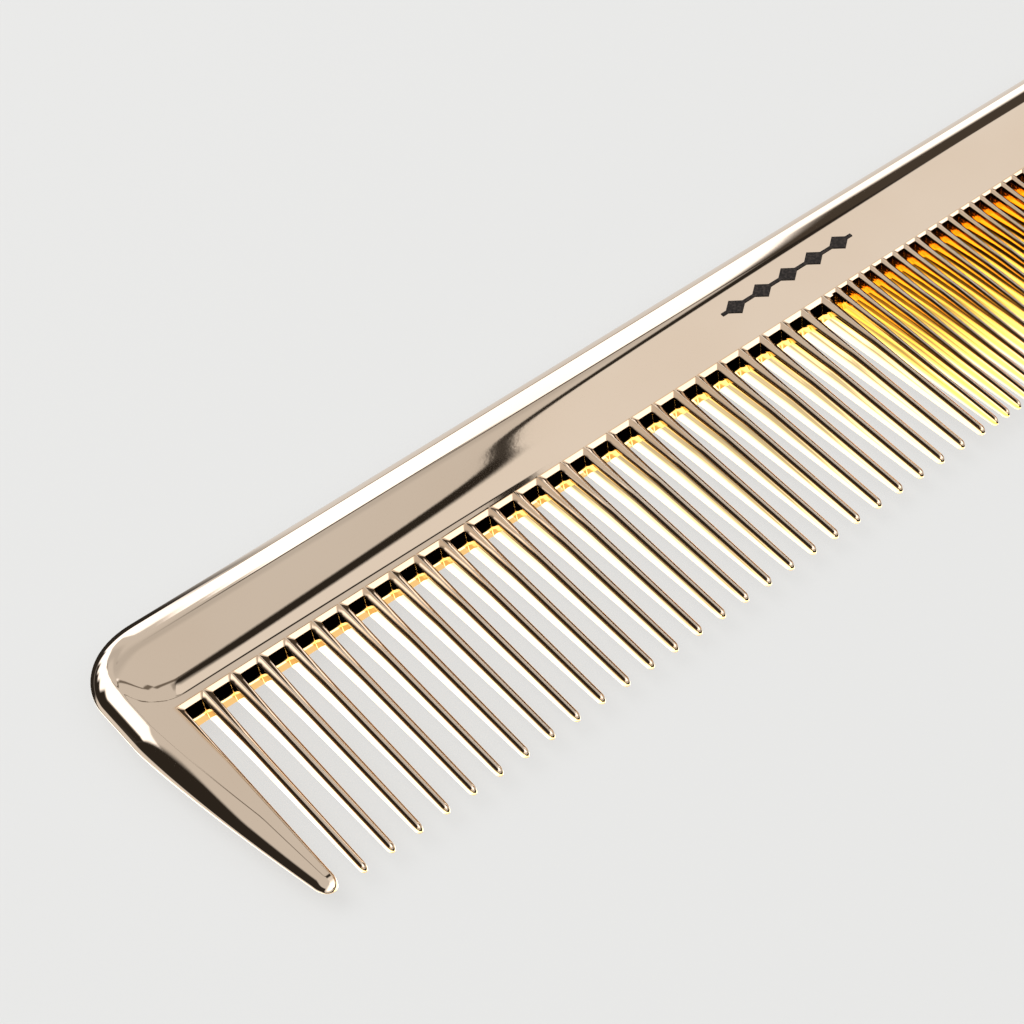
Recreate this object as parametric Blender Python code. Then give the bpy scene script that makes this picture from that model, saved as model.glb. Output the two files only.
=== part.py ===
"""Metal-plated hairdressing comb with a coarse half, a fine half and two end guards.

The comb lies flat: X runs along the teeth row with the coarse end at -X, the teeth point
to -Y and the spine is at +Y, +Z is up. The origin is at the centre of the underside of
the box around the comb. Every tooth of the coarse half is a solid of its own, the teeth
of the fine half are made two to a root bar, and the pieces meet along the creases where
the teeth leave the spine.
"""
import math

import bmesh
import bpy
from mathutils import Vector

MM = 0.001

# Row of teeth, in millimetres. The row starts at the first coarse tooth, at row position 0.
COARSE_COUNT = 27
COARSE_PITCH = 3.0
FINE_COUNT = 48
FINE_PITCH = 1.73
PITCH_CHANGE = 2.02
LAST_COARSE = (COARSE_COUNT - 1) * COARSE_PITCH
FIRST_FINE = LAST_COARSE + PITCH_CHANGE
LAST_FINE = FIRST_FINE + (FINE_COUNT - 1) * FINE_PITCH

# Thickness through the comb, measured from the middle plane where the two moulds part.
WEB_HALF = 1.95
TIP_HALF = 0.66
CROWN_RISE = 0.55

# Depth positions along a tooth: 0 is the point where two slot bevels meet, the tip is at -Y.
SPINE_EDGE = 0.35
SPINE_TOP = 13.45
BEVEL_END = -8.0
TIP_START = -24.7
TIP_END = -25.5
JOINT_GAP = 0.05

# Coarse teeth: half widths at the root and at the tip, and the bevel round each slot.
COARSE_HALF_ROOT = 0.58
COARSE_HALF_MIDDLE = 0.42
COARSE_HALF_TIP = 0.33
COARSE_BEVEL = 0.52
COARSE_BEVEL_DEPTH = 0.42
COARSE_WALL_BULGE = 0.15

# Fine teeth.
FINE_HALF_ROOT = 0.375
FINE_HALF_MIDDLE = 0.29
FINE_HALF_TIP = 0.23
FINE_BEVEL = 0.32
FINE_BEVEL_DEPTH = 0.26
FINE_WALL_BULGE = 0.10
TEETH_PER_BAR = 2

# Both kinds of tooth have a small draft at the middle plane and a softened edge.
DRAFT = 0.03
SOFT_EDGE = 0.14

# Guards: the wide end teeth.
GUARD_SLOT_COARSE = 1.84
GUARD_SLOT_FINE = 1.01
GUARD_WIDTH = 5.43
GUARD_TIP_WIDTH = 1.85
GUARD_SWEEP = 1.3
GUARD_TIP_HALF = 0.78
GUARD_TIP_END = -25.3

# Spine outline: the outer corner, the sloping outer edge and the raised panel. The edge
# slopes over a wide band at the ends and over a narrow one along the top.
CORNER_RADIUS = 7.4
EDGE_ROUND = 2.2
TOP_EDGE_ROUND = 1.8
PANEL_BOTTOM = 1.2
PANEL_RADIUS = 4.45
CUSHION_BEND = 3.2
CUSHION_POWER = 4
CUSHION_STEP = 0.02
CROWN_FLAT_LOW = 3.75
CROWN_FLAT_HIGH = 7.3

# Printed ornament on the panel, a bar with five lozenges.
MARK_START = 67.6
MARK_LENGTH = 19.0
MARK_DEPTH = 5.1
MARK_HALF = 1.2
MARK_BAR_HALF = 0.22
MARK_LOZENGES = 5
MARK_LOZENGE_HALF = 1.45
MARK_LIFT = 0.02
MARK_THICK = 0.06

GUARD_INNER_LEFT = -COARSE_HALF_ROOT - GUARD_SLOT_COARSE
GUARD_INNER_RIGHT = LAST_FINE + FINE_HALF_ROOT + GUARD_SLOT_FINE
OUTER_LEFT = GUARD_INNER_LEFT - GUARD_WIDTH
OUTER_RIGHT = GUARD_INNER_RIGHT + GUARD_WIDTH
PANEL_MIDDLE = PANEL_BOTTOM + PANEL_RADIUS

# The middle of the box in plan, and how high the middle plane lies above the underside.
CENTRE_X = (OUTER_LEFT + OUTER_RIGHT) / 2
CENTRE_Y = (SPINE_TOP + TIP_END) / 2
MIDDLE_Z = WEB_HALF + CROWN_RISE


def place(x, y, z):
    """Turn row coordinates in millimetres into scene coordinates in metres."""
    return Vector(((x - CENTRE_X) * MM, (y - CENTRE_Y) * MM, (z + MIDDLE_Z) * MM))


def blend(a, b, t):
    return a + (b - a) * t


def plated_material(name, colour, metallic, roughness):
    material = bpy.data.materials.new(name)
    material.use_nodes = True
    shader = material.node_tree.nodes["Principled BSDF"]
    shader.inputs["Base Color"].default_value = (*colour, 1.0)
    shader.inputs["Metallic"].default_value = metallic
    shader.inputs["Roughness"].default_value = roughness
    return material


def add_solid(name, mesh_builder, material, smooth_angle):
    """Make one closed object from a function that fills a bmesh with faces."""
    bm = bmesh.new()
    mesh_builder(bm)
    bmesh.ops.remove_doubles(bm, verts=bm.verts, dist=1e-7)
    bmesh.ops.recalc_face_normals(bm, faces=bm.faces)
    mesh = bpy.data.meshes.new(name)
    bm.to_mesh(mesh)
    bm.free()
    mesh.materials.append(material)
    mesh.shade_smooth()
    mesh.set_sharp_from_angle(angle=math.radians(smooth_angle))
    solid = bpy.data.objects.new(name, mesh)
    bpy.context.scene.collection.objects.link(solid)
    return solid


def ring(bm, points):
    return [bm.verts.new(place(*point)) for point in points]


def bridge(bm, first, second):
    """Join two rings that have the same number of corners with four-sided faces."""
    count = len(first)
    for i in range(count):
        j = (i + 1) % count
        bm.faces.new((first[i], first[j], second[j], second[i]))


def tooth_half_front(y):
    """Half thickness of a tooth at depth y: it thins evenly from the spine to the tip."""
    return blend(WEB_HALF, TIP_HALF, min(max(-y / -TIP_START, 0.0), 1.0))


class ToothShape:
    """Sizes that tell a coarse tooth from a fine one."""

    def __init__(self, half_root, half_middle, half_tip, bevel, bevel_depth, bulge):
        self.half_root = half_root
        self.half_middle = half_middle
        self.half_tip = half_tip
        self.bevel = bevel
        self.bevel_depth = bevel_depth
        self.bulge = bulge

    def section(self, x, y, half_body, half_face, half_front, depth, shrink):
        """Ten corners of the tooth's section, from the front face round by +X."""
        body = half_body * shrink
        face = half_face * shrink
        front = half_front * shrink
        shoulder = front - depth * shrink
        middle = body + DRAFT * shrink
        side = [(face, front), (body, shoulder), (middle, 0.0), (body, -shoulder), (face, -front)]
        right = [(x + dx, y, z) for dx, z in side]
        left = [(x - dx, y, z) for dx, z in reversed(side)]
        return right + left

    def root_section(self, x, shift):
        """The section where the tooth leaves the spine, which follows the spine's lower edge."""
        body = self.half_root
        face = self.half_root - self.bevel
        shoulder = WEB_HALF - self.bevel_depth
        side = [(face, SPINE_EDGE, WEB_HALF),
                (body, SPINE_EDGE - self.bevel, shoulder),
                (body + DRAFT, SPINE_EDGE - self.bevel - self.bulge, 0.0),
                (body, SPINE_EDGE - self.bevel, -shoulder),
                (face, SPINE_EDGE, -WEB_HALF)]
        right = [(x + dx, y - shift, z) for dx, y, z in side]
        left = [(x - dx, y - shift, z) for dx, y, z in reversed(side)]
        return right + left

    def lower_sections(self, x):
        """Sections from the end of the root bevel to the rounded tip."""
        half_soft = min(SOFT_EDGE, self.half_tip * 0.6)
        middle = self.section(x, BEVEL_END, self.half_middle, self.half_middle - half_soft,
                              tooth_half_front(BEVEL_END), half_soft, 1.0)
        start = self.section(x, TIP_START, self.half_tip, self.half_tip - half_soft,
                             TIP_HALF, half_soft, 1.0)
        end = self.section(x, TIP_END, self.half_tip, self.half_tip - half_soft,
                           TIP_HALF, half_soft, 0.45)
        return [middle, start, end]


COARSE = ToothShape(COARSE_HALF_ROOT, COARSE_HALF_MIDDLE, COARSE_HALF_TIP,
                    COARSE_BEVEL, COARSE_BEVEL_DEPTH, COARSE_WALL_BULGE)
FINE = ToothShape(FINE_HALF_ROOT, FINE_HALF_MIDDLE, FINE_HALF_TIP,
                  FINE_BEVEL, FINE_BEVEL_DEPTH, FINE_WALL_BULGE)


def hang_tooth(bm, shape, x, root_ring):
    """Add the tooth below a root ring that is already in the mesh, and close its tip."""
    above = root_ring
    for points in shape.lower_sections(x):
        below = ring(bm, points)
        bridge(bm, above, below)
        above = below
    bm.faces.new(above)


def coarse_tooth(x):
    """A coarse tooth: its root face is folded to match the spine's bevelled lower edge."""
    def build(bm):
        top = ring(bm, COARSE.root_section(x, JOINT_GAP))
        hang_tooth(bm, COARSE, x, top)
        for i in range(4):
            bm.faces.new((top[i], top[i + 1], top[8 - i], top[9 - i]))
    return build


def fine_teeth(first_x):
    """Two fine teeth on one root bar, which closes the slot between them."""
    half_pitch = FINE_PITCH / 2
    centres = [first_x + k * FINE_PITCH for k in range(TEETH_PER_BAR)]
    bar_start = centres[0] - half_pitch + JOINT_GAP / 2
    bar_end = centres[-1] + half_pitch - JOINT_GAP / 2
    top = SPINE_EDGE - JOINT_GAP
    low = top - FINE.bevel * 0.2

    def profile(x):
        shoulder = WEB_HALF - FINE.bevel_depth
        wall = low - FINE.bevel
        return [(x, low, WEB_HALF), (x, wall, shoulder), (x, wall - FINE.bulge, 0.0),
                (x, wall, -shoulder), (x, low, -WEB_HALF)]

    def build(bm):
        roots = []
        for x in centres:
            roots.append(ring(bm, FINE.root_section(x, SPINE_EDGE - low)))
        left_edges = [ring(bm, profile(bar_start))] + [root[:5] for root in roots]
        right_edges = [root[:4:-1] for root in roots] + [ring(bm, profile(bar_end))]
        for left, right in zip(left_edges, right_edges):
            for i in range(4):
                bm.faces.new((left[i], left[i + 1], right[i + 1], right[i]))
        corners = ring(bm, [(bar_start, top, WEB_HALF), (bar_start, top, -WEB_HALF),
                            (bar_end, top, -WEB_HALF), (bar_end, top, WEB_HALF)])
        bm.faces.new(corners)
        front = [corners[3], corners[0], left_edges[0][0]]
        back = [corners[2], corners[1], left_edges[0][4]]
        for root in roots:
            front += [root[9], root[0]]
            back += [root[5], root[4]]
        bm.faces.new(front + [right_edges[-1][0]])
        bm.faces.new(back + [right_edges[-1][4]])
        bm.faces.new([corners[0], corners[1]] + left_edges[0][::-1])
        bm.faces.new([corners[3], corners[2]] + right_edges[-1][::-1])
        for x, root in zip(centres, roots):
            hang_tooth(bm, FINE, x, root)
    return build


def outline_top(x):
    """Top of the spine's outline at row position x, with its two rounded corners."""
    into_corner = CORNER_RADIUS - min(x - OUTER_LEFT, OUTER_RIGHT - x)
    if into_corner <= 0.0:
        return SPINE_TOP
    drop = math.sqrt(max(CORNER_RADIUS ** 2 - into_corner ** 2, 0.0))
    return SPINE_TOP - CORNER_RADIUS + drop


def inward_distance(x, y):
    """Distance from a point inside the spine to its outer outline, teeth side left out."""
    from_end = min(x - OUTER_LEFT, OUTER_RIGHT - x)
    from_top = SPINE_TOP - y
    if from_end < CORNER_RADIUS and from_top < CORNER_RADIUS:
        return CORNER_RADIUS - math.hypot(CORNER_RADIUS - from_end, CORNER_RADIUS - from_top)
    return min(from_end, from_top)


def top_share(x, y):
    """0 along an end of the spine, 1 along its top, and in between round the corner."""
    above = y - (SPINE_TOP - CORNER_RADIUS)
    if above <= 0.0:
        return 0.0
    across = max(CORNER_RADIUS - min(x - OUTER_LEFT, OUTER_RIGHT - x), 0.0)
    share = math.atan2(above, across) / (math.pi / 2)
    return share * share * (3.0 - 2.0 * share)


def cushion_table():
    """Drop of the cushion at even steps from its axis: flat at first, then a steady slope."""
    drops = [0.0]
    for i in range(round(SPINE_TOP / CUSHION_STEP)):
        reach = ((i + 0.5) * CUSHION_STEP / CUSHION_BEND) ** CUSHION_POWER
        drops.append(drops[-1] + reach / (reach + 1.0))
    at_rim = drops[round(PANEL_RADIUS / CUSHION_STEP)]
    return [CROWN_RISE * drop / at_rim for drop in drops]


CUSHION = cushion_table()


def cushion_drop(x, y):
    """How far the cushion-shaped panel has dropped from its crown. Its ends are round."""
    from_end = min(x - OUTER_LEFT, OUTER_RIGHT - x)
    off_end = max(EDGE_ROUND + PANEL_RADIUS - from_end, 0.0)
    if CROWN_FLAT_LOW <= y <= CROWN_FLAT_HIGH and off_end == 0.0:
        return 0.0
    steps = math.hypot(y - PANEL_MIDDLE, off_end) / CUSHION_STEP
    return blend(CUSHION[int(steps)], CUSHION[int(steps) + 1], steps % 1.0)


def edge_factor(inward, top):
    """Share of the full height at a distance inward from the outline."""
    reach = min(max(inward, 0.0) / blend(EDGE_ROUND, TOP_EDGE_ROUND, top), 1.0)
    return blend(math.sqrt(reach), math.sqrt(1.0 - (1.0 - reach) ** 2), top)


def spine_height(x, y):
    """Half thickness of the spine: below the panel it stays level, above it slopes on."""
    drop = cushion_drop(x, y)
    top = top_share(x, y)
    if drop > CROWN_RISE:
        drop = CROWN_RISE + (drop - CROWN_RISE) * top
    return (WEB_HALF + CROWN_RISE - drop) * edge_factor(inward_distance(x, y), top)


def spine_section(x, lower_edge):
    """Corners of the spine's section at x, up the front, over the top and down the back."""
    rows = [SPINE_EDGE, PANEL_BOTTOM, 2.3, CROWN_FLAT_LOW, CROWN_FLAT_HIGH, 9.0, 10.4, 11.65,
            12.4, 12.95, 13.3]
    top = outline_top(x)
    front = []
    for row in rows:
        y = SPINE_EDGE + (top - SPINE_EDGE) * (row - SPINE_EDGE) / (SPINE_TOP - SPINE_EDGE)
        front.append((x, y, spine_height(x, y)))
    back = [(px, py, -pz) for px, py, pz in reversed(front)]
    return front + [(x, top, 0.0)] + back + lower_edge


def flat_lower_edge(x):
    height = spine_height(x, SPINE_EDGE)
    share = (WEB_HALF - COARSE_BEVEL_DEPTH) / WEB_HALF
    return [(x, SPINE_EDGE, -height * share), (x, SPINE_EDGE, 0.0),
            (x, SPINE_EDGE, height * share)]


def bevelled_lower_edge(x):
    """Lower edge over the coarse teeth: the bevel and the wall at the end of each slot."""
    wall = SPINE_EDGE - COARSE_BEVEL
    shoulder = WEB_HALF - COARSE_BEVEL_DEPTH
    return [(x, wall, -shoulder), (x, wall - COARSE_WALL_BULGE, 0.0), (x, wall, shoulder)]


def spine(bm):
    """The spine: sections lofted from one end to the other, with a pointed line at each end."""
    end_steps = [0.25, 0.95, 1.9, 3.1, 4.4, EDGE_ROUND + PANEL_RADIUS]
    rib_start = GUARD_INNER_LEFT + JOINT_GAP
    rib_end = LAST_COARSE + COARSE_HALF_ROOT + (PITCH_CHANGE - COARSE_HALF_ROOT
                                                - FINE_HALF_ROOT) / 2
    step = JOINT_GAP
    stations = [(OUTER_LEFT + s, flat_lower_edge) for s in end_steps[:-1]]
    stations += [(rib_start - step, flat_lower_edge), (rib_start, bevelled_lower_edge)]
    stations += [(OUTER_LEFT + end_steps[-1], bevelled_lower_edge)]
    stations += [(rib_end, bevelled_lower_edge), (rib_end + step, flat_lower_edge)]
    stations += [(OUTER_RIGHT - s, flat_lower_edge) for s in reversed(end_steps)]
    stations.sort(key=lambda item: item[0])
    rings = [ring(bm, spine_section(x, edge(x))) for x, edge in stations]
    for first, second in zip(rings, rings[1:]):
        bridge(bm, first, second)
    close_end(bm, rings[0], OUTER_LEFT)
    close_end(bm, rings[-1], OUTER_RIGHT)


def close_end(bm, section, x):
    """Close an end of the spine onto a vertical line of points on the middle plane."""
    half = (len(section) - 3) // 2
    front = section[:half]
    back = section[half + 1:2 * half + 1][::-1]
    low_back, low_middle, low_front = section[-3:]
    top = outline_top(x)
    line = []
    for vertex in front:
        y = vertex.co.y / MM + CENTRE_Y
        line.append(bm.verts.new(place(x, min(y, top), 0.0)))
    for i in range(half - 1):
        bm.faces.new((front[i], front[i + 1], line[i + 1], line[i]))
        bm.faces.new((back[i], back[i + 1], line[i + 1], line[i]))
    bm.faces.new((front[-1], section[half], line[-1]))
    bm.faces.new((back[-1], section[half], line[-1]))
    bm.faces.new((line[0], front[0], low_front))
    bm.faces.new((line[0], low_front, low_middle))
    bm.faces.new((line[0], low_middle, low_back))
    bm.faces.new((line[0], low_back, back[0]))


def guard(inner_x, direction, shape):
    """An end guard. Direction is -1 at the coarse end, where it grows towards -X."""
    depths = [SPINE_EDGE - JOINT_GAP, -2.0, -5.0, BEVEL_END, -12.0, -16.0, -20.0, -23.8, -24.8]

    def section(y, shrink):
        along = min(max(-y / -TIP_START, 0.0), 1.0)
        width = blend(GUARD_WIDTH, GUARD_TIP_WIDTH, along ** GUARD_SWEEP)
        bevel = blend(shape.bevel, SOFT_EDGE, min(max(-y / -BEVEL_END, 0.0), 1.0))
        depth = blend(shape.bevel_depth, SOFT_EDGE, min(max(-y / -BEVEL_END, 0.0), 1.0))
        front = blend(WEB_HALF, GUARD_TIP_HALF, along) * shrink
        rounding = min(EDGE_ROUND, width * 0.55)
        middle = width / 2
        profile = [(0.0, 0.0), (0.0, front - depth), (bevel, front), (width - rounding, front),
                   (width - rounding * 0.5, front * math.sqrt(0.75)),
                   (width - rounding * 0.14, front * 0.51), (width, 0.0)]
        mirrored = [(across, -z) for across, z in reversed(profile[1:-1])]
        return [(inner_x + direction * (middle + (across - middle) * shrink), y, z)
                for across, z in profile + mirrored]

    def build(bm):
        rings = [ring(bm, section(y, 1.0)) for y in depths]
        rings.append(ring(bm, section(GUARD_TIP_END, 0.55)))
        bm.faces.new(rings[0])
        for first, second in zip(rings, rings[1:]):
            bridge(bm, first, second)
        bm.faces.new(rings[-1])
    return build


def printed_mark(bm):
    """A thin printed bar with lozenges on it, lying on the flat crown of the panel."""
    spacing = MARK_LENGTH / MARK_LOZENGES
    upper = [(MARK_START, MARK_BAR_HALF)]
    for k in range(MARK_LOZENGES):
        middle = MARK_START + (k + 0.5) * spacing
        reach = MARK_LOZENGE_HALF * (1.0 - MARK_BAR_HALF / MARK_HALF)
        upper += [(middle - reach, MARK_BAR_HALF), (middle, MARK_HALF),
                  (middle + reach, MARK_BAR_HALF)]
    upper.append((MARK_START + MARK_LENGTH, MARK_BAR_HALF))
    outline = upper + [(x, -across) for x, across in reversed(upper)]
    base = WEB_HALF + CROWN_RISE + MARK_LIFT
    low = ring(bm, [(x, MARK_DEPTH + across, base) for x, across in outline])
    high = ring(bm, [(x, MARK_DEPTH + across, base + MARK_THICK) for x, across in outline])
    bridge(bm, low, high)
    bm.faces.new(low)
    bm.faces.new(high)


def main():
    for item in list(bpy.data.objects):
        bpy.data.objects.remove(item)
    gold = plated_material("plated_rose_gold", (0.80, 0.64, 0.50), 1.0, 0.08)
    ink = plated_material("black_print", (0.02, 0.018, 0.016), 0.0, 0.45)

    add_solid("spine", spine, gold, 35.0)
    add_solid("guard_coarse_end", guard(GUARD_INNER_LEFT, -1.0, COARSE), gold, 35.0)
    add_solid("guard_fine_end", guard(GUARD_INNER_RIGHT, 1.0, FINE), gold, 35.0)
    for k in range(COARSE_COUNT):
        add_solid(f"coarse_tooth_{k + 1:02d}", coarse_tooth(k * COARSE_PITCH), gold, 35.0)
    for k in range(FINE_COUNT // TEETH_PER_BAR):
        first_x = FIRST_FINE + k * TEETH_PER_BAR * FINE_PITCH
        add_solid(f"fine_teeth_{k + 1:02d}", fine_teeth(first_x), gold, 35.0)
    add_solid("printed_mark", printed_mark, ink, 35.0)


main()
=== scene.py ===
"""Looks of the rose-gold plated hairdressing comb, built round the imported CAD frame.

Row coordinates are in millimetres: x runs along the teeth row from the first coarse tooth,
y points from the teeth to the spine, and z is the height above the middle plane, where the
two halves of the mould meet. place() turns them into the frame's metres.
"""
import math

import bmesh
import bpy
from mathutils import Matrix, Vector


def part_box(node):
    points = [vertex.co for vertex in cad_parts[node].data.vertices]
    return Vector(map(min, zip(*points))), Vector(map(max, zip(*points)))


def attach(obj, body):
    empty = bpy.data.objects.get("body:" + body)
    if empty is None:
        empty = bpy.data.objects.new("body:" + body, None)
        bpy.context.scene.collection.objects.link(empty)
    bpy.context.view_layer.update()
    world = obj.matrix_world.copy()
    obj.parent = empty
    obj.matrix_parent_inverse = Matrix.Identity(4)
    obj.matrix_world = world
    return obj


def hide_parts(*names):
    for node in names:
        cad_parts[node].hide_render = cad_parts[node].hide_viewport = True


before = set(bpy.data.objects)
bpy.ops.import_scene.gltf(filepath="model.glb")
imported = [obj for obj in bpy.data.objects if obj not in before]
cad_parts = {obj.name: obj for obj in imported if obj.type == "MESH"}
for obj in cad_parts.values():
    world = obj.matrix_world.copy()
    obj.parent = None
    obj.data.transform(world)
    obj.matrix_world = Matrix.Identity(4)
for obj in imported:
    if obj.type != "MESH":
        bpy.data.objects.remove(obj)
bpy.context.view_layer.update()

MM = 0.001

# Sizes shared with the CAD part, in millimetres.
SPINE_TOP = 13.45
WEB_HALF = 1.95
CROWN_RISE = 0.55
TIP_HALF = 0.66
CORNER_RADIUS = 7.4
END_EDGE = 2.2
TOP_EDGE = 1.8
PANEL_BOTTOM = 1.2
PANEL_RADIUS = 4.45
PANEL_MIDDLE = PANEL_BOTTOM + PANEL_RADIUS
CUSHION_BEND = 3.2
CUSHION_POWER = 4
CUSHION_STEP = 0.02
CREASE_SOFT = 0.08
SEAM_Y = 0.75
FACE_EDGE = 0.35
BEVEL_END = -8.0
TIP_START = -24.7
TIP_END = -25.45
FINE_PITCH = 1.73
GUARD_TIP_START = -23.6
GUARD_TIP_END = -25.25
GUARD_TIP_WIDTH = 1.85
GUARD_TIP_HALF = 0.78
GUARD_SWEEP = 1.3

# Mesh making, in metres and degrees.
MERGE_DISTANCE = 2e-7
SMALLEST_EDGE = 1e-8
SHARP_ANGLE = 50.0

# The spine's net: its columns crowd towards both ends, its rows towards the crease and the top.
END_REACH = 11.0
END_COLUMNS = 78
END_CROWDING = 1.7
MIDDLE_COLUMNS = 60
CREASE_END = 1.6
CREASE_ROWS = 17
PANEL_END = 9.0
PANEL_ROWS = 30
EDGE_ROWS = 44

# The net of a tooth's side: counts of sections and steps.
WALL_COLUMNS = 5
CORNER_SECTIONS = 6
FLANK_NEAR = 12
FLANK_FAR = 24
TIP_SECTIONS = 9
FACE_STEPS = 4
GUARD_FACE_STEPS = 8
GUARD_EDGE_STEPS = 24
ROUNDING_STEPS = 3

# Small shapes of the teeth. Shares are parts of the size they are multiplied with.
FLANK_STEP = 0.35
BEVEL_ROUNDING = 0.05
LOW_ROUNDING_SHARE = 0.45
LOW_BEVEL_SHARE = 0.62
LOW_DEPTH_SHARE = 0.50
CORNER_SHARE = 0.3
BULGE_LOSS = 0.25
LONGEST_ROUNDING = 0.48
FACE_CROWN = 0.05
FACE_DROP = 0.02
LAG_REACH = 3.0
TIP_OPENING = 0.3
TAPER_LAG = 0.06
GUARD_BEVEL = 0.2
GUARD_EDGE_SHARE = 0.62

SPINE_LOW, SPINE_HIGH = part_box("spine")
FIRST_LOW, FIRST_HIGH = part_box("coarse_tooth_01")
ORIGIN = Vector(((FIRST_LOW.x + FIRST_HIGH.x) / 2, SPINE_HIGH.y - SPINE_TOP * MM,
                 (SPINE_LOW.z + SPINE_HIGH.z) / 2))
OUTER_LEFT = (SPINE_LOW.x - ORIGIN.x) / MM
OUTER_RIGHT = (SPINE_HIGH.x - ORIGIN.x) / MM


def place(x, y, z):
    return ORIGIN + Vector((x, y, z)) * MM


def row_x(node):
    """Row position of the middle of a CAD node."""
    low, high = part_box(node)
    return ((low.x + high.x) / 2 - ORIGIN.x) / MM


def mix(a, b, t):
    return a + (b - a) * t


def clamp(value, low=0.0, high=1.0):
    return min(max(value, low), high)


def smooth(t):
    t = clamp(t)
    return t * t * (3.0 - 2.0 * t)


def spread(low, high, count):
    """count + 1 evenly spaced values from low to high."""
    return [mix(low, high, i / count) for i in range(count + 1)]


# ---------------------------------------------------------------- mesh helpers

def flipped(point):
    """The same point on the other side of the middle plane."""
    return (point[0], point[1], -point[2], *point[3:])


class Shell:
    """Collects grids of points in row coordinates, and makes one smooth closed mesh."""

    def __init__(self, name):
        self.name = name
        self.points = []
        self.walls = []
        self.edges = []
        self.shades = []
        self.faces = []

    def add(self, x, y, z, wall=0.0, edge=0.0, shade=0.0):
        self.points.append(place(x, y, z))
        self.walls.append(wall)
        self.edges.append(edge)
        self.shades.append(shade)
        return len(self.points) - 1

    def grid(self, rows):
        """Rows of (x, y, z, wall, edge, shade) points, joined by four-sided faces."""
        ids = [[self.add(*point) for point in row] for row in rows]
        for upper, lower in zip(ids, ids[1:]):
            for i in range(len(upper) - 1):
                self.faces.append((upper[i], upper[i + 1], lower[i + 1], lower[i]))
        return ids

    def both_sides(self, rows):
        """A grid and its mirror image below the middle plane."""
        self.grid(rows)
        self.grid([[flipped(point) for point in row] for row in rows])

    def polygon(self, points):
        self.faces.append(tuple(self.add(*point) for point in points))

    def finish(self, material):
        mesh = bpy.data.meshes.new(self.name)
        mesh.from_pydata(self.points, [], self.faces)
        shares = (("wall", self.walls), ("edge", self.edges), ("shade", self.shades))
        for label, values in shares:
            attribute = mesh.attributes.new(label, "FLOAT", "POINT")
            attribute.data.foreach_set("value", values)
        bm = bmesh.new()
        bm.from_mesh(mesh)
        bmesh.ops.remove_doubles(bm, verts=bm.verts, dist=MERGE_DISTANCE)
        bmesh.ops.dissolve_degenerate(bm, edges=bm.edges, dist=SMALLEST_EDGE)
        bmesh.ops.recalc_face_normals(bm, faces=bm.faces)
        bm.to_mesh(mesh)
        bm.free()
        mesh.materials.append(material)
        mesh.shade_smooth()
        mesh.set_sharp_from_angle(angle=math.radians(SHARP_ANGLE))
        piece = bpy.data.objects.new(self.name, mesh)
        bpy.context.scene.collection.objects.link(piece)
        return piece


def fillet(points, radii, steps):
    """Round the inner corners of a 3-D polyline with curves of so many steps."""
    rounded = [points[0]]
    for before, corner, after, radius in zip(points, points[1:], points[2:], radii):
        into = before - corner
        out = after - corner
        reach_in = min(radius, into.length * LONGEST_ROUNDING)
        reach_out = min(radius, out.length * LONGEST_ROUNDING)
        start = corner + into.normalized() * reach_in
        end = corner + out.normalized() * reach_out
        for k in range(steps + 1):
            t = k / steps
            rounded.append(start * (1 - t) ** 2 + corner * 2 * t * (1 - t) + end * t * t)
    rounded.append(points[-1])
    return rounded


# ---------------------------------------------------------------- the spine

def from_end(x):
    return min(x - OUTER_LEFT, OUTER_RIGHT - x)


def top_share(x, y):
    """0 along an end of the spine, 1 along its top, and in between round the corner."""
    above = y - (SPINE_TOP - CORNER_RADIUS)
    if above <= 0.0:
        return 0.0
    across = max(CORNER_RADIUS - from_end(x), 0.0)
    return smooth(math.atan2(above, across) / (math.pi / 2))


def cushion_table():
    """Drop of the cushion at even steps from its axis: flat at first, then a steady slope."""
    drops = [0.0]
    for i in range(round(SPINE_TOP / CUSHION_STEP)):
        r = ((i + 0.5) * CUSHION_STEP / CUSHION_BEND) ** CUSHION_POWER
        drops.append(drops[-1] + r / (r + 1.0))
    at_rim = drops[round(PANEL_RADIUS / CUSHION_STEP)]
    return [CROWN_RISE * drop / at_rim for drop in drops]


CUSHION = cushion_table()


def cushion_drop(x, y):
    """How far the cushion-shaped panel has dropped from its crown. Its ends are round."""
    off_end = max(END_EDGE + PANEL_RADIUS - from_end(x), 0.0)
    steps = math.hypot(y - PANEL_MIDDLE, off_end) / CUSHION_STEP
    return mix(CUSHION[int(steps)], CUSHION[int(steps) + 1], steps % 1.0)


def inward_distance(x, y):
    across = from_end(x)
    from_top = SPINE_TOP - y
    if across < CORNER_RADIUS and from_top < CORNER_RADIUS:
        return CORNER_RADIUS - math.hypot(CORNER_RADIUS - across, CORNER_RADIUS - from_top)
    return min(across, from_top)


def edge_factor(inward, top):
    reach = clamp(inward / mix(END_EDGE, TOP_EDGE, top))
    return mix(math.sqrt(reach), math.sqrt(1.0 - (1.0 - reach) ** 2), top)


def soft_max(a, b, radius):
    """The larger of two heights, with the crease between them rounded off."""
    share = clamp(0.5 + 0.5 * (a - b) / radius)
    return mix(b, a, share) + radius * share * (1.0 - share)


def spine_height(x, y):
    """Half thickness of the spine: below the panel it stays level, above it slopes on."""
    drop = cushion_drop(x, y)
    top = top_share(x, y)
    panel = WEB_HALF + CROWN_RISE - drop
    beyond = WEB_HALF + CROWN_RISE - mix(CROWN_RISE, max(drop, CROWN_RISE), top)
    level = soft_max(panel, beyond, CREASE_SOFT * (1.0 - top) + 1e-6)
    return level * edge_factor(inward_distance(x, y), top)


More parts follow.
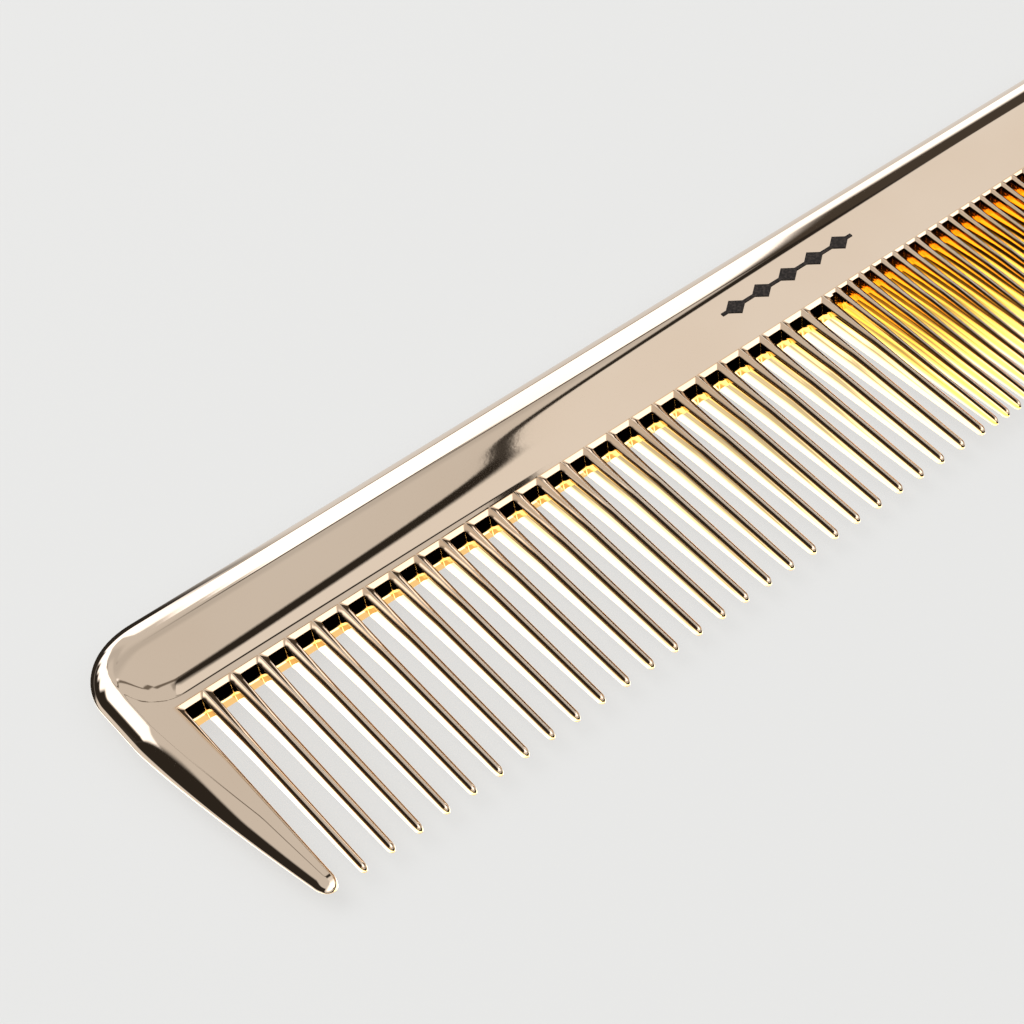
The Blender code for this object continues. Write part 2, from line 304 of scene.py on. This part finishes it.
def outline_top(x):
    into_corner = CORNER_RADIUS - from_end(x)
    if into_corner <= 0.0:
        return SPINE_TOP
    return SPINE_TOP - CORNER_RADIUS + math.sqrt(max(CORNER_RADIUS ** 2 - into_corner ** 2, 0))


def spine_rows(x):
    """Depths of the points of one section of the spine, close together near its edges."""
    top = outline_top(x)
    crease = spread(SEAM_Y, CREASE_END, CREASE_ROWS)[:-1]
    middle = spread(CREASE_END, PANEL_END, PANEL_ROWS)[:-1]
    edge = [SPINE_TOP - (SPINE_TOP - PANEL_END) * (1 - i / EDGE_ROWS) ** 2
            for i in range(EDGE_ROWS + 1)]
    scale = (top - SEAM_Y) / (SPINE_TOP - SEAM_Y)
    return [SEAM_Y + (y - SEAM_Y) * scale for y in crease + middle + edge]


def build_spine(material):
    shell = Shell("plated_spine")
    end = [OUTER_LEFT + END_REACH * (i / END_COLUMNS) ** END_CROWDING
           for i in range(END_COLUMNS + 1)]
    far_end = [OUTER_RIGHT - (x - OUTER_LEFT) for x in reversed(end)]
    middle = spread(end[-1], far_end[0], MIDDLE_COLUMNS)[1:-1]
    columns = end + middle + far_end
    rows = [[(x, y, spine_height(x, y)) for y in spine_rows(x)] for x in columns]
    shell.both_sides(rows)
    seam = [row[0] for row in rows]
    shell.grid([seam, [flipped(point) for point in seam]])
    return shell.finish(material)


# ---------------------------------------------------------------- teeth and guards

class Kind:
    """Sizes of the coarse or the fine teeth, and the painted shade and painted reflection of their
    slots.

    The two lists of shades say how dark a painted shade (1) or how deep a painted amber reflection (-1)
    each point gets, from the middle plane up, on the wall at the end of a slot and on its flanks.
    """

    def __init__(self, half_root, half_middle, half_tip, bevel, depth, bulge, draft,
                 end_shades, flank_shades):
        self.half_root = half_root
        self.half_middle = half_middle
        self.half_tip = half_tip
        self.bevel = bevel
        self.depth = depth
        self.bulge = bulge
        self.draft = draft
        self.end_shades = end_shades
        self.flank_shades = flank_shades
        self.low_bevel = half_middle * LOW_BEVEL_SHARE
        self.low_depth = half_middle * LOW_DEPTH_SHARE


# The last two lists of each kind are its slots' painted shade (above 0) and painted deep reflection
# (below 0).
COARSE = Kind(0.58, 0.42, 0.33, 0.52, 0.30, 0.34, 0.10,
              [1.0, 1.0, 1.0, 1.0, 1.0, 1.0], [0.0, 0.0, 0.1, 0.8, 1.0, 1.0])
FINE = Kind(0.375, 0.29, 0.23, 0.32, 0.20, 0.20, 0.06,
            [-1.0, 0.0, 0.7, 1.0, 1.0, 1.0], [-1.0, -1.0, -0.3, 0.6, 1.0, 1.0])


def root_share(y):
    """0 at the root of a tooth, 1 where the wide bevels of the slot end."""
    return clamp(y / BEVEL_END)


def whole_share(y):
    """0 at the root of a tooth, 1 where its tip starts."""
    return clamp(y / TIP_START)


class ToothSide:
    """One flank of a tooth. Distances run from the slot's wall into the tooth."""

    tip_start = TIP_START
    tip_end = TIP_END

    def __init__(self, kind):
        self.kind = kind

    def half_body(self, y):
        kind = self.kind
        if y > BEVEL_END:
            return mix(kind.half_root, kind.half_middle, root_share(y))
        return mix(kind.half_middle, kind.half_tip, (y - BEVEL_END) / (TIP_START - BEVEL_END))

    def wall(self, y):
        return self.kind.half_root - self.half_body(y)

    def bevel(self, y):
        return mix(self.kind.bevel, self.kind.low_bevel * self.half_body(y)
                   / self.kind.half_middle, root_share(y))

    def depth(self, y):
        return mix(self.kind.depth, self.kind.low_depth * self.half_body(y)
                   / self.kind.half_middle, root_share(y))

    def front(self, y):
        return mix(WEB_HALF, TIP_HALF, whole_share(y))

    def face(self, y, first):
        """(distance, height) pairs from the bevel to the middle of the tooth."""
        end = self.kind.half_root
        crown = FACE_CROWN * root_share(y)
        for k in range(1, FACE_STEPS + 1):
            t = k / FACE_STEPS
            yield mix(first, end, t), self.front(y) + crown * (1.0 - (1.0 - t) ** 2)

    def tip_centre(self, y):
        return self.kind.half_root


def eased(share):
    """The same share, but with a gentle start, so that a taper leaves the spine smoothly."""
    behind = TAPER_LAG * (1.0 - math.exp(-share / TAPER_LAG))
    return (share - behind) / (1.0 - TAPER_LAG)


class GuardSide(ToothSide):
    """The inner flank, the face and the rounded outer edge of an end guard."""

    tip_start = GUARD_TIP_START
    tip_end = GUARD_TIP_END

    def __init__(self, kind, width):
        super().__init__(kind)
        self.full_width = width

    def half_body(self, y):
        return self.kind.half_root

    def width(self, y):
        return mix(self.full_width, GUARD_TIP_WIDTH, whole_share(y) ** GUARD_SWEEP)

    def bevel(self, y):
        return mix(self.kind.bevel, GUARD_BEVEL, root_share(y))

    def depth(self, y):
        return mix(self.kind.depth, GUARD_BEVEL, root_share(y))

    def front(self, y):
        return mix(WEB_HALF, GUARD_TIP_HALF, eased(whole_share(y)))

    def face(self, y, first):
        end = self.width(y)
        edge = min(END_EDGE, end * GUARD_EDGE_SHARE)
        for distance in spread(first, end - edge, GUARD_FACE_STEPS)[1:]:
            yield distance, self.front(y)
        for k in range(1, GUARD_EDGE_STEPS + 1):
            reach = (1.0 - k / GUARD_EDGE_STEPS) ** 2
            yield end - edge * reach, self.front(y) * math.sqrt(reach)

    def tip_centre(self, y):
        return self.width(y) / 2


# For each point of a slot's profile: how far it belongs to the wall, where the painted slot shade and
# painted reflection replace the plating, and to a worn edge.
WALL_SHARES = [1.0, 1.0, 1.0, 1.0, 0.6, 0.15]
EDGE_SHARES = [0.0, 0.0, 0.0, 0.3, 1.0, 1.0, 0.5, 0.6, 1.0, 1.0, 0.5]
PROFILE_FIXED = len(EDGE_SHARES)


def profile(shades, wall_point, bulged_point, face_point, rounding, beyond):
    """Points of one line across a slot's edge: wall, bevel and then the face."""
    lines = fillet([bulged_point, wall_point, face_point, beyond[0]], [rounding, rounding],
                   ROUNDING_STEPS)
    middle = [lines[0].lerp(lines[1], t) for t in (0.33, 0.67)]
    points = [lines[0]] + middle + lines[1:] + beyond[1:]
    plain = [0.0] * len(points)
    walls = WALL_SHARES + plain
    edges = EDGE_SHARES + plain
    return [(*point, w, e, s) for point, w, e, s in zip(points, walls, edges, shades + plain)]


def slot_side(shell, side, slot_half, x_wall, direction, close=True):
    """One side of a slot: half of its end wall, its corner, one flank and half of a tip.

    direction is +1 when the slot lies towards +X of the piece. close caps the end wall.
    """
    kind = side.kind
    wall_y = FACE_EDGE - kind.bevel
    corner_radius = kind.bevel * CORNER_SHARE
    shoulder = WEB_HALF - kind.depth

    def at(a, y, z):
        return Vector((x_wall - direction * a, y, z))

    end_wall = []
    for t in spread(0.0, 1.0, WALL_COLUMNS):
        a_wall = mix(-slot_half, -corner_radius, t)
        a_face = mix(-slot_half, kind.bevel, t)
        bulge = kind.bulge * (1.0 - BULGE_LOSS * t ** 3)
        beyond = [at(a_face, mix(FACE_EDGE, SEAM_Y, k / 2), WEB_HALF) for k in (1, 2)]
        end_wall.append(profile(kind.end_shades, at(a_wall, wall_y, shoulder),
                                at(a_wall, wall_y - bulge, 0.0),
                                at(a_face, FACE_EDGE, WEB_HALF), BEVEL_ROUNDING, beyond))
    shell.both_sides(end_wall)

    face_corner = kind.bevel
    corner_line = end_wall[-1]
    filler = []
    for k in range(3):
        y = mix(FACE_EDGE, SEAM_Y, k / 2)
        face = [tuple(at(a, y, z)) for a, z in side.face(0.0, face_corner)]
        filler.append([corner_line[PROFILE_FIXED - 1 + k]] + face)
    shell.both_sides(filler)

    flank = []
    for k in range(1, CORNER_SECTIONS + 1):
        turned = k / CORNER_SECTIONS
        angle = math.radians(90.0 * turned)
        a_wall = -corner_radius * (1.0 - math.sin(angle))
        y_wall = wall_y - corner_radius * (1.0 - math.cos(angle))
        lean = mix(kind.bulge * (1.0 - BULGE_LOSS), kind.draft, smooth(turned))
        shades = [mix(a, b, turned) for a, b in zip(kind.end_shades, kind.flank_shades)]
        bulged = at(a_wall - kind.draft * math.sin(angle),
                    y_wall - lean * math.cos(angle), 0.0)
        y_face = FACE_EDGE - FACE_DROP * k
        beyond = [at(a, y_face, z) for a, z in side.face(y_face, face_corner)]
        flank.append(profile(shades, at(a_wall, y_wall, shoulder), bulged,
                             at(face_corner, y_face, WEB_HALF), BEVEL_ROUNDING, beyond))
    bridge = corner_line[:PROFILE_FIXED] + filler[0][1:]
    y_start = wall_y - corner_radius
    lag = FACE_EDGE - FACE_DROP * CORNER_SECTIONS - y_start
    for y in flank_depths(y_start, side.tip_start):
        y_face = y + lag * clamp(1.0 - (y_start - y) / LAG_REACH)
        a_wall = side.wall(y)
        a_face = a_wall + side.bevel(y)
        rounding = mix(BEVEL_ROUNDING, side.bevel(y) * LOW_ROUNDING_SHARE, root_share(y))
        beyond = [at(a, y_face, z) for a, z in side.face(y_face, a_face)]
        flank.append(profile(kind.flank_shades,
                             at(a_wall, y, side.front(y) - side.depth(y)),
                             at(a_wall - kind.draft * mix(1.0, 0.5, root_share(y)), y, 0.0),
                             at(a_face, y_face, side.front(y_face)), rounding, beyond))
    flank += tip_lines(side, flank[-1], x_wall, direction)
    shell.both_sides([bridge] + flank)
    seam = [line[-1] for line in end_wall]
    seam_face = filler[-1]
    for line in (seam, seam_face):
        shell.grid([line, [flipped(point) for point in line]])
    if close:
        front = end_wall[0]
        back = [flipped(point) for point in reversed(front)]
        shell.polygon(front[1:] + back[:-1] + [front[0]])


def flank_depths(start, end):
    """Depths of a flank's sections, closer together near the slot's corner."""
    near = [start - FLANK_STEP * k for k in range(1, FLANK_NEAR)]
    return near + spread(near[-1], end, FLANK_FAR)[1:]


def tip_lines(side, last, x_wall, direction):
    """Sections of the rounded tip: copies of the last section, smaller and smaller."""
    centre = x_wall - direction * side.tip_centre(side.tip_start)
    lines = []
    for k in range(1, TIP_SECTIONS + 1):
        angle = math.radians(90.0 * k / (TIP_SECTIONS + TIP_OPENING))
        shrink = math.cos(angle)
        y = mix(side.tip_start, side.tip_end, math.sin(angle))
        drift = direction * (side.tip_centre(side.tip_start) - side.tip_centre(y))
        lines.append([(centre + drift + (px - centre) * shrink, y, pz * shrink, *shares)
                      for px, _, pz, *shares in last])
    return lines


def build_tooth(shell, kind, x, left_half, right_half, close_left=True, close_right=True):
    side = ToothSide(kind)
    slot_side(shell, side, right_half, x + kind.half_root, 1.0, close_right)
    slot_side(shell, side, left_half, x - kind.half_root, -1.0, close_left)


def cap_holes(piece):
    """Close the small openings left at the tips."""
    bm = bmesh.new()
    bm.from_mesh(piece.data)
    open_edges = [edge for edge in bm.edges if edge.is_boundary]
    bmesh.ops.holes_fill(bm, edges=open_edges, sides=0)
    bmesh.ops.recalc_face_normals(bm, faces=bm.faces)
    bm.to_mesh(piece.data)
    bm.free()


def hand_over(piece, nodes):
    """Hang a finished piece under the root body and hide the CAD nodes it takes the place of."""
    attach(piece, "root")
    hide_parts(*nodes)


def build_coarse_teeth(material, positions, next_x):
    for i, x in enumerate(positions):
        shell = Shell(f"plated_coarse_tooth_{i + 1:02d}")
        left = (positions[1] - positions[0]) / 2 - COARSE.half_root
        right = left
        if i == len(positions) - 1:
            right = (next_x - FINE.half_root - x - COARSE.half_root) / 2
        build_tooth(shell, COARSE, x, left, right)
        piece = shell.finish(material)
        cap_holes(piece)
        hand_over(piece, [f"coarse_tooth_{i + 1:02d}"])


def build_fine_teeth(material, bars, last_coarse):
    for i, middle in enumerate(bars):
        shell = Shell(f"plated_fine_teeth_{i + 1:02d}")
        half = FINE_PITCH / 2 - FINE.half_root
        first = middle - FINE_PITCH / 2
        left = half
        if i == 0:
            left = (first - FINE.half_root - last_coarse - COARSE.half_root) / 2
        build_tooth(shell, FINE, first, left, half, close_right=False)
        build_tooth(shell, FINE, first + FINE_PITCH, half, half, close_left=False)
        piece = shell.finish(material)
        cap_holes(piece)
        hand_over(piece, [f"fine_teeth_{i + 1:02d}"])


def build_guard(material, node, kind, direction, slot_half):
    low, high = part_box(node)
    inner = ((high.x if direction > 0 else low.x) - ORIGIN.x) / MM
    width = (high.x - low.x) / MM
    shell = Shell("plated_" + node)
    slot_side(shell, GuardSide(kind, width), slot_half, inner, direction)
    piece = shell.finish(material)
    cap_holes(piece)
    hand_over(piece, [node])


# ---------------------------------------------------------------- materials

class Nodes:
    """Short ways of adding shader nodes."""

    def __init__(self, tree):
        self.tree = tree

    def new(self, kind, **settings):
        node = self.tree.nodes.new(kind)
        for name, value in settings.items():
            setattr(node, name, value)
        return node

    def link(self, source, target):
        self.tree.links.new(source, target)

    def math(self, operation, *values):
        node = self.new("ShaderNodeMath", operation=operation)
        for i, value in enumerate(values):
            self.feed(node.inputs[i], value)
        return node.outputs[0]

    def feed(self, target, value):
        if isinstance(value, (int, float)):
            target.default_value = value
        else:
            self.link(value, target)

    def ramp(self, value, low, high, to_low=0.0, to_high=1.0):
        node = self.new("ShaderNodeMapRange", interpolation_type="SMOOTHSTEP")
        self.feed(node.inputs["Value"], value)
        node.inputs["From Min"].default_value = low
        node.inputs["From Max"].default_value = high
        node.inputs["To Min"].default_value = to_low
        node.inputs["To Max"].default_value = to_high
        return node.outputs["Result"]

    def blend(self, share, first, second):
        node = self.new("ShaderNodeMix", data_type="RGBA")
        self.feed(node.inputs["Factor"], share)
        for socket, value in ((node.inputs[6], first), (node.inputs[7], second)):
            if isinstance(value, tuple):
                socket.default_value = (*value, 1.0)
            else:
                self.link(value, socket)
        return node.outputs[2]

    def noise(self, scale, detail, vector):
        node = self.new("ShaderNodeTexNoise")
        node.inputs["Scale"].default_value = scale
        node.inputs["Detail"].default_value = detail
        self.link(vector, node.inputs["Vector"])
        return node.outputs["Fac"]


CLOUD_SCALE = 45.0
GRAIN_SCALE = 9000.0
RIPPLE_SCALE = 2600.0
RIPPLE_DEPTH = 0.00002
INK_SCALE = 3500.0
INK_DEPTH = 0.00001
ROUGHNESS = (0.015, 0.035)
GRAIN_ROUGHNESS = 0.012
# Heights above the middle plane over which the painted shade of the upper slot walls fades in.
SHADE_START = -0.00002
SHADE_FULL = 0.00012
PLATING = (0.80, 0.655, 0.515)
CLOUDED = (0.97, 0.955, 0.94)
WORN_EDGE = (0.72, 0.44, 0.22)
# Painted light in the slots: a painted amber reflection for the lower walls, a deeper painted
# reflection for the fine teeth, and a near black painted shade for the upper walls.
PAINTED_SLOT_REFLECTION = (0.96, 0.72, 0.36)
PAINTED_DEEP_REFLECTION = (0.85, 0.52, 0.10)
SLOT_SHADE = (0.02, 0.012, 0.008)


def plated_metal():
    material = bpy.data.materials.new("rose_gold_plating")
    material.use_nodes = True
    n = Nodes(material.node_tree)
    shader = material.node_tree.nodes["Principled BSDF"]
    shader.inputs["Metallic"].default_value = 1.0
    position = n.new("ShaderNodeNewGeometry").outputs["Position"]
    wall = n.new("ShaderNodeAttribute", attribute_name="wall").outputs["Fac"]
    edge = n.new("ShaderNodeAttribute", attribute_name="edge").outputs["Fac"]
    clouds = n.noise(CLOUD_SCALE, 3.0, position)
    grain = n.noise(GRAIN_SCALE, 2.0, position)
    height = n.new("ShaderNodeSeparateXYZ")
    n.link(position, height.inputs[0])
    # Painted light in the slots: above the middle plane the walls are painted near black, a painted
    # shade, and below it they get a painted amber reflection, deeper on the fine teeth. The wall share
    # says how far this replaces the plating.
    shade = n.new("ShaderNodeAttribute", attribute_name="shade").outputs["Fac"]
    upper = n.ramp(height.outputs["Z"], ORIGIN.z + SHADE_START, ORIGIN.z + SHADE_FULL)
    amber = n.blend(n.ramp(shade, -1.0, 0.0), PAINTED_DEEP_REFLECTION, PAINTED_SLOT_REFLECTION)
    dark = n.math("MULTIPLY", upper, n.math("MAXIMUM", shade, 0.0))
    painted_slot_light = n.blend(dark, amber, SLOT_SHADE)
    face_colour = n.blend(n.ramp(clouds, 0.35, 0.7), PLATING,
                          tuple(c * k for c, k in zip(PLATING, CLOUDED)))
    worn = n.math("MULTIPLY", edge, n.ramp(clouds, 0.3, 0.6, 0.35, 0.8))
    colour = n.blend(worn, face_colour, WORN_EDGE)
    n.link(n.blend(wall, colour, painted_slot_light), shader.inputs["Base Color"])
    rough = n.ramp(clouds, 0.3, 0.7, *ROUGHNESS)
    n.link(n.math("ADD", rough, n.math("MULTIPLY", grain, GRAIN_ROUGHNESS)), shader.inputs["Roughness"])
    bump = n.new("ShaderNodeBump")
    bump.inputs["Strength"].default_value = 0.02
    bump.inputs["Distance"].default_value = RIPPLE_DEPTH
    n.link(n.noise(RIPPLE_SCALE, 2.0, position), bump.inputs["Height"])
    n.link(bump.outputs[0], shader.inputs["Normal"])
    return material


def printing_ink():
    material = bpy.data.materials.new("black_printing_ink")
    material.use_nodes = True
    n = Nodes(material.node_tree)
    shader = material.node_tree.nodes["Principled BSDF"]
    shader.inputs["Specular IOR Level"].default_value = 0.1
    position = n.new("ShaderNodeNewGeometry").outputs["Position"]
    mottle = n.noise(INK_SCALE, 4.0, position)
    n.link(n.blend(n.ramp(mottle, 0.4, 0.75), (0.012, 0.010, 0.009), (0.035, 0.028, 0.024)),
           shader.inputs["Base Color"])
    n.link(n.ramp(mottle, 0.3, 0.7, 0.38, 0.55), shader.inputs["Roughness"])
    bump = n.new("ShaderNodeBump")
    bump.inputs["Strength"].default_value = 0.2
    bump.inputs["Distance"].default_value = INK_DEPTH
    n.link(mottle, bump.inputs["Height"])
    n.link(bump.outputs[0], shader.inputs["Normal"])
    return material


# ---------------------------------------------------------------- stage, light and camera

# Areas of the studio as the mirror finish sees them. Each is an azimuth range from +Y
# towards +X, a range of elevation, the softness of both edges, and a colour.
DARK = (0.03, 0.026, 0.022)
TAN = (0.93, 0.93, 0.93)
WHITE = (1.8, 1.85, 1.95)
STUDIO = [
    ((-181, 181), (-90, -4), (1, 3), DARK),
    ((-181, 181), (-90, -46), (1, 3), (3.0, 2.8, 2.4)),
    ((-181, 181), (-90, -62), (1, 4), (1.0, 0.80, 0.55)),
    ((12, 120), (-40, -1.5), (2, 0.8), (0.80, 0.80, 0.80)),
    ((10, 28), (-1.5, 3), (2, 0.8), (0.20, 0.15, 0.11)),
    ((-100, -38), (-45, -5), (4, 2), (0.86, 0.84, 0.82)),
    ((-100, -46), (-62, -37.5), (1.5, 1), (3.0, 2.8, 2.4)),
    ((-30, 27), (20, 34), (4, 5), (0.62, 0.615, 0.61)),
    ((15, 48), (72, 82), (4, 3), (0.42, 0.41, 0.40)),
    ((28.0, 181), (26, 90), (0.6, 2), TAN),
    ((27.6, 181), (8.5, 26), (0.8, 1.2), (0.07, 0.06, 0.05)),
    ((25, 80), (0.5, 7.5), (2, 1.2), WHITE),
    ((-110, -51), (-3, 46), (2, 2), DARK),
    ((-53, -8), (-4, 24), (2, 2), DARK),
    ((-51, -20), (25, 37.5), (1.5, 1.2), WHITE),
    ((-36, -21), (14, 34), (2.5, 2), WHITE),
    ((-26, -16), (8, 30), (2.5, 2), WHITE),
    ((-20, -9), (3, 19), (2, 2), WHITE),
    ((-12, 0), (-4, 15), (2, 1.5), WHITE),
    ((-3, 10.5), (-9, 8), (1.5, 1.2), WHITE),
    ((3, 27.4), (2.5, 8), (2, 0.8), WHITE),
    ((9.9, 27.4), (2.5, 12.5), (0.5, 0.8), WHITE),
    ((11.2, 27.4), (2.5, 16.8), (0.5, 0.8), WHITE),
    ((12.6, 27.4), (2.5, 20.9), (0.7, 0.8), WHITE),
    ((18, 27.4), (2.5, 23.2), (2, 0.8), WHITE),
    ((11, 20), (21.2, 23.4), (2, 0.4), (0.08, 0.07, 0.06)),
    ((19, 27.6), (23.6, 25.9), (2, 0.4), (0.08, 0.07, 0.06)),
    ((-23, -20.4), (38, 62), (0.8, 2), (0.20, 0.18, 0.16)),
    ((-22, -8), (61, 66), (2, 1.2), (0.20, 0.18, 0.16)),
    ((-12, 26), (66.5, 70.5), (3, 1), (0.20, 0.18, 0.16)),
    ((110, 181), (25, 75), (12, 8), (2.1, 2.1, 2.15)),
    ((-181, -120), (25, 75), (12, 8), (2.1, 2.1, 2.15)),
]
# A dark boom hangs between the two ceilings. It is narrowest level with BOOM_WAIST, spreads
# quickly above it and slowly below it, and leans the same way on both sides.
BOOM_WAIST = 47.0
BOOM_TURN = 27.6
BOOM_LEAN = 0.25
BOOM_HALF = 0.50
BOOM_SPREAD_UP = 0.38
BOOM_SPREAD_DOWN = 0.15
BOOM_ENDS = (25.0, 76.0)
BOOM_SOFT = 0.4
BOOM_END_SOFT = (1.0, 3.0)
CEILING = (0.74, 0.735, 0.73)
BACKDROP = (0.90, 0.90, 0.89)
FLOOR_HALF = 1.6
FLOOR_COLOUR = (0.10, 0.10, 0.099, 1.0)
FLOOR_GLOW = (0.62, 0.62, 0.61, 1.0)
LAMP_AT = Vector((-0.25, 0.35, 0.9))
LAMP_SIZE = 0.9
LAMP_POWER = 9.0


def boom_share(n, turn, rise):
    above = n.math("MAXIMUM", n.math("SUBTRACT", rise, BOOM_WAIST), 0.0)
    below = n.math("MAXIMUM", n.math("SUBTRACT", BOOM_WAIST, rise), 0.0)
    lean = n.math("MULTIPLY", n.math("ADD", above, below), BOOM_LEAN)
    off = n.math("ABSOLUTE", n.math("SUBTRACT", turn, n.math("ADD", lean, BOOM_TURN)))
    half = n.math("ADD", n.math("MULTIPLY", above, BOOM_SPREAD_UP),
                  n.math("MULTIPLY_ADD", below, BOOM_SPREAD_DOWN, BOOM_HALF))
    across = n.ramp(n.math("DIVIDE", off, half), 1.0 - BOOM_SOFT, 1.0 + BOOM_SOFT, 1.0, 0.0)
    low, high = BOOM_ENDS
    low_soft, high_soft = BOOM_END_SOFT
    along = n.math("MULTIPLY", n.ramp(rise, low - low_soft, low + low_soft),
                   n.ramp(rise, high - high_soft, high + high_soft, 1.0, 0.0))
    return n.math("MULTIPLY", across, along)


def studio_world():
    world = bpy.data.worlds.new("studio")
    bpy.context.scene.world = world
    world.use_nodes = True
    n = Nodes(world.node_tree)
    background = world.node_tree.nodes["Background"]
    direction = n.new("ShaderNodeTexCoord").outputs["Generated"]
    parts = n.new("ShaderNodeSeparateXYZ")
    n.link(direction, parts.inputs[0])
    x, y, z = (parts.outputs[i] for i in range(3))
    turn = n.math("DEGREES", n.math("ARCTAN2", x, y))
    rise = n.math("DEGREES", n.math("ARCSINE", z))
    colour = CEILING
    for azimuth, elevation, soft, tint in STUDIO:
        masks = []
        for value, (low, high), edge in ((turn, azimuth, soft[0]), (rise, elevation, soft[1])):
            masks.append(n.ramp(value, low - edge, low + edge))
            masks.append(n.ramp(value, high - edge, high + edge, 1.0, 0.0))
        share = masks[0]
        for mask in masks[1:]:
            share = n.math("MULTIPLY", share, mask)
        colour = n.blend(share, colour, tint)
    colour = n.blend(boom_share(n, turn, rise), colour, DARK)
    seen = n.new("ShaderNodeLightPath").outputs["Is Camera Ray"]
    n.link(n.blend(seen, colour, BACKDROP), background.inputs["Color"])


def floor():
    mesh = bpy.data.meshes.new("studio_floor")
    corners = [(x * FLOOR_HALF, y * FLOOR_HALF, 0) for x, y in ((-1, -1), (1, -1), (1, 1), (-1, 1))]
    mesh.from_pydata(corners, [], [(0, 1, 2, 3)])
    ground = bpy.data.objects.new("studio_floor", mesh)
    bpy.context.scene.collection.objects.link(ground)
    material = bpy.data.materials.new("pale_floor")
    material.use_nodes = True
    n = Nodes(material.node_tree)
    shader = material.node_tree.nodes["Principled BSDF"]
    shader.inputs["Roughness"].default_value = 0.9
    shader.inputs["Base Color"].default_value = FLOOR_COLOUR
    shader.inputs["Emission Color"].default_value = FLOOR_GLOW
    shader.inputs["Emission Strength"].default_value = 1.0
    ground.visible_glossy = False
    mesh.materials.append(material)


def lamp(name, where, target, size, power):
    data = bpy.data.lights.new(name, "AREA")
    data.shape = "DISK"
    data.size = size
    data.energy = power
    light = bpy.data.objects.new(name, data)
    bpy.context.scene.collection.objects.link(light)
    light.location = where
    light.rotation_mode = "QUATERNION"
    light.rotation_quaternion = (target - light.location).to_track_quat("-Z", "Y")
    light.visible_glossy = False
    light.visible_camera = False


CAMERA_ROW = (-36.377, -137.271, 173.27 + WEB_HALF)
CAMERA_TURN = 48.463
CAMERA_DIP = 50.803
CAMERA_ROLL = 3.903
FOCAL_SHARE = 2215.41 / 1024
SHIFT = (-0.525, 0.047)
SENSOR = 36.0


def camera():
    data = bpy.data.cameras.new("camera")
    data.sensor_width = SENSOR
    data.lens = FOCAL_SHARE * SENSOR
    data.shift_x, data.shift_y = SHIFT
    data.clip_start = 0.01
    eye = bpy.data.objects.new("camera", data)
    bpy.context.scene.collection.objects.link(eye)
    turn, dip, roll = (math.radians(v) for v in (CAMERA_TURN, CAMERA_DIP, CAMERA_ROLL))
    ahead = Vector((math.cos(dip) * math.sin(turn), math.cos(dip) * math.cos(turn),
                    -math.sin(dip)))
    right = Vector((math.cos(turn), -math.sin(turn), 0.0))
    up = right.cross(ahead)
    rolled_right = right * math.cos(roll) + up * math.sin(roll)
    rolled_up = up * math.cos(roll) - right * math.sin(roll)
    axes = Matrix((rolled_right, rolled_up, -ahead)).transposed()
    eye.matrix_world = Matrix.Translation(place(*CAMERA_ROW)) @ axes.to_4x4()
    bpy.context.scene.camera = eye


# ---------------------------------------------------------------- the printed ornament

def build_mark(material):
    """The ornament's own CAD solid is right, so it keeps its shape and only gets the ink."""
    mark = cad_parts["printed_mark"]
    mark.data.materials.clear()
    mark.data.materials.append(material)


def main():
    bpy.context.scene.view_settings.view_transform = "Standard"
    camera()
    studio_world()
    floor()
    lamp("overhead", LAMP_AT, Vector((0, 0, 0)), LAMP_SIZE, LAMP_POWER)
    metal = plated_metal()
    hand_over(build_spine(metal), ["spine"])
    coarse = sorted(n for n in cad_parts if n.startswith("coarse_tooth"))
    fine = sorted(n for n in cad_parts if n.startswith("fine_teeth"))
    coarse_x = [row_x(n) for n in coarse]
    fine_x = [row_x(n) for n in fine]
    build_coarse_teeth(metal, coarse_x, fine_x[0] - FINE_PITCH / 2)
    build_fine_teeth(metal, fine_x, coarse_x[-1])
    left_inner = (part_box("guard_coarse_end")[1].x - ORIGIN.x) / MM
    build_guard(metal, "guard_coarse_end", COARSE, 1.0,
                (coarse_x[0] - COARSE.half_root - left_inner) / 2)
    build_guard(metal, "guard_fine_end", FINE, -1.0, FINE_PITCH / 2 - FINE.half_root)
    build_mark(printing_ink())


main()
